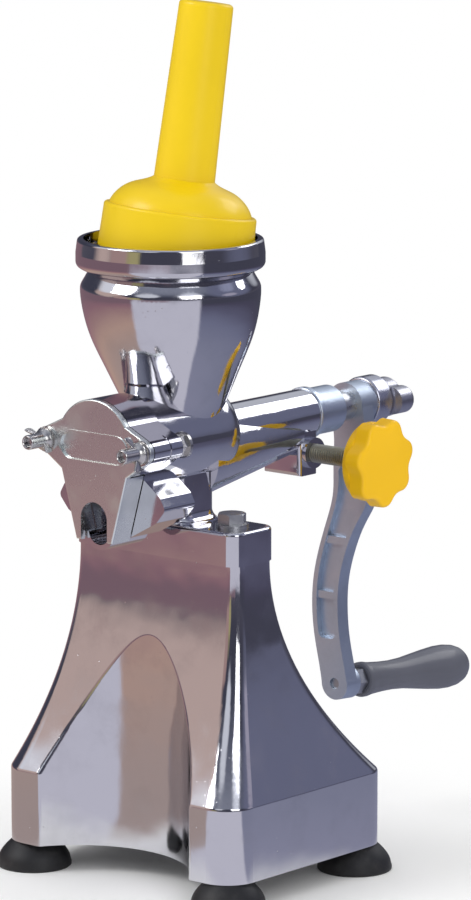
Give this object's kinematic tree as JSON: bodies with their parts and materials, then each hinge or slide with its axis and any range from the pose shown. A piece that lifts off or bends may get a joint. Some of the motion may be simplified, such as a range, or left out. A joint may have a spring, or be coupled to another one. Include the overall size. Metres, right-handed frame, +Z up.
{
  "type": "manual wheatgrass juicer",
  "caption": "Hand-cranked wheatgrass juicer: polished head with hopper and yellow pusher on a flared stand with a glass niche, side crank, star-knob pulp regulator, suction feet.",
  "frame": {"origin": "on the floor under the middle of the stand, the centre of the four feet", "axes": "+Z up; the front cover and glass niche face -Y; the shaft runs along Y with the crank at its +Y end; the regulator's star knob is on the +X side"},
  "size_m": [0.168, 0.3175, 0.4434],
  "materials": {
    "cast_aluminium": "mirror-polished casting",
    "stand_aluminium": "polished casting",
    "crank_aluminium": "satin, bead-blasted casting",
    "turned_steel": "turned bright steel",
    "stainless": "stainless, satin",
    "zinc_bolt": "zinc-plated, dull",
    "nickel_fastener": "nickel plated",
    "threaded_rod": "zinc-passivated thread",
    "rubber": "soft black rubber",
    "gasket": "thin black gasket",
    "clamp_steel": "plated, worn satin",
    "grip_plastic": "satin moulded plastic",
    "bush_plastic": "self-lubricating plastic",
    "yellow_plastic": "moulded yellow plastic",
    "knob_plastic": "moulded amber-yellow plastic"
  },
  "bodies": {
    "stand": {"stand_tower": "stand_aluminium", "foot_front_left": "rubber", "foot_front_right": "rubber", "foot_rear_left": "rubber", "foot_rear_right": "rubber", "foot_screws": "zinc_bolt", "head_casting": "cast_aluminium", "hopper": "cast_aluminium", "flange_bolts": "zinc_bolt", "flange_washers": "zinc_bolt", "flange_nuts": "zinc_bolt", "front_cover": "cast_aluminium", "cover_gasket": "gasket", "cover_bolts": "nickel_fastener", "strainer": "stainless", "shaft_bushes": "bush_plastic", "sleeve_end_ring": "crank_aluminium"},
    "left_washer": {"cover_washer_left": "nickel_fastener"},
    "left_wing_nut": {"wing_nut_left": "nickel_fastener"},
    "right_washer": {"cover_washer_right": "nickel_fastener"},
    "right_wing_nut": {"wing_nut_right": "nickel_fastener"},
    "crank": {"auger": "stainless", "thrust_collar": "crank_aluminium", "hub_spacer": "turned_steel", "crank_arm": "crank_aluminium", "crank_ring": "clamp_steel", "crank_thumb_bolt": "clamp_steel", "grip_spindle": "zinc_bolt", "grip_lock_nut": "zinc_bolt"},
    "grip": {"hand_grip": "grip_plastic"},
    "regulator_tip": {"regulator_pad": "stainless"},
    "regulator": {"regulator_screw": "threaded_rod", "regulator_knob": "knob_plastic"},
    "pusher": {"pusher_cup": "yellow_plastic", "pusher_handle": "yellow_plastic"}
  },
  "joints": [
    {"name": "crank_spin", "type": "hinge", "parent": "stand", "child": "crank", "pos_m": [0, 0, 0.223], "axis": [0, 1, 0], "continuous": true},
    {"name": "grip_spin", "type": "hinge", "parent": "crank", "child": "grip", "pos_m": [-0.0065, 0.1205, 0.0734], "axis": [0, 0.9976, -0.0698], "continuous": true},
    {"name": "regulator_travel", "type": "slide", "parent": "stand", "child": "regulator_tip", "axis": [-1, 0, 0], "range_m": [-0.003, 0.009]},
    {"name": "regulator_turn", "type": "hinge", "parent": "regulator_tip", "child": "regulator", "pos_m": [0.03, 0.0805, 0.2045], "axis": [-1, 0, 0], "range_deg": [-720, 2160]},
    {"name": "pusher_lift", "type": "slide", "parent": "stand", "child": "pusher", "axis": [0.0555, 0.1295, 0.99], "range_m": [0, 0.12]},
    {"name": "left_nut_travel", "type": "slide", "parent": "stand", "child": "left_washer", "axis": [0, -1, 0], "range_m": [0, 0.004]},
    {"name": "left_nut_turn", "type": "hinge", "parent": "left_washer", "child": "left_wing_nut", "pos_m": [-0.031, -0.08, 0.2282], "axis": [0, -1, 0], "range_deg": [0, 1800]},
    {"name": "right_nut_travel", "type": "slide", "parent": "stand", "child": "right_washer", "axis": [0, -1, 0], "range_m": [0, 0.004]},
    {"name": "right_nut_turn", "type": "hinge", "parent": "right_washer", "child": "right_wing_nut", "pos_m": [0.031, -0.08, 0.2282], "axis": [0, -1, 0], "range_deg": [0, 1800]}
  ],
  "couplings": [
    {"joint": "regulator_turn", "follows": "regulator_travel", "rad_per_m": 4188.8},
    {"joint": "left_nut_turn", "follows": "left_nut_travel", "rad_per_m": 7854},
    {"joint": "right_nut_turn", "follows": "right_nut_travel", "rad_per_m": 7854}
  ]
}
